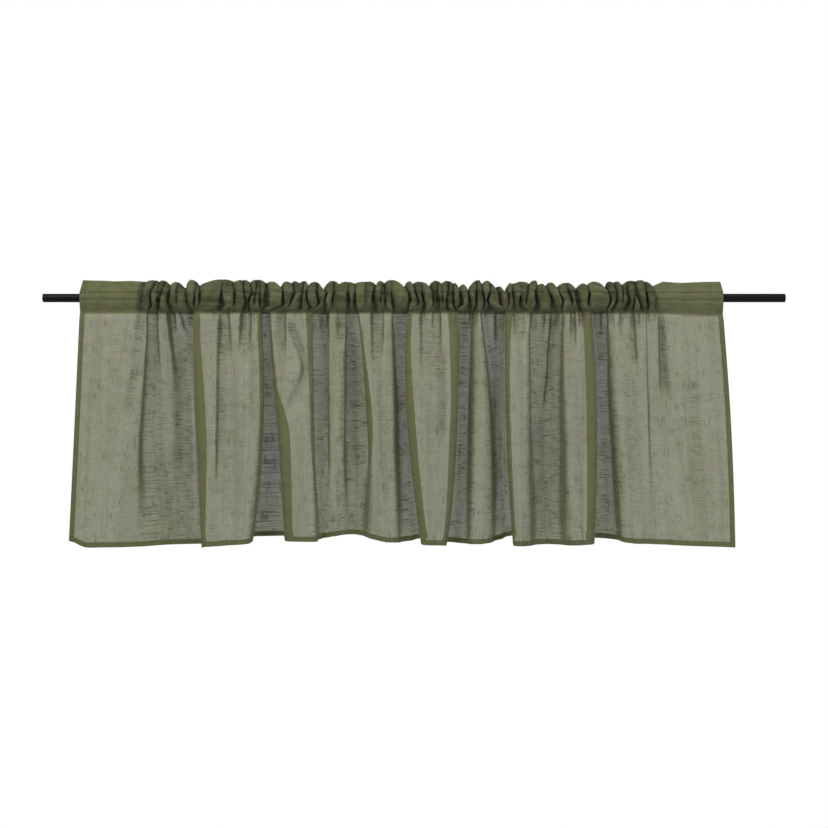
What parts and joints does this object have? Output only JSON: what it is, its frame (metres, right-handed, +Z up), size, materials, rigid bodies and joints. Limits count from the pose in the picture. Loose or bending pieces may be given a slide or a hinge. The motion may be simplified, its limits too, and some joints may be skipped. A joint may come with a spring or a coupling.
{
  "type": "gathered pelmet on a rod",
  "caption": "Short gathered cloth pelmet with a rod pocket and a ruffled frill, hanging in uneven folds on a plain round rod.",
  "frame": {"origin": "on the rod's axis, half-way along the rod", "axes": "+X along the rod to the right as seen from the front, +Y from the cloth's face to its back, +Z up"},
  "size_m": [1.39, 0.0655, 0.497],
  "materials": {
    "rod_black": "black satin enamel on a plain steel tube",
    "linen_green": "moss-green open plain weave with slubs, semi-sheer in one layer and nearly solid where it is doubled"
  },
  "bodies": {
    "root": {"rod": "rod_black", "cloth": "linen_green"}
  },
  "joints": []
}
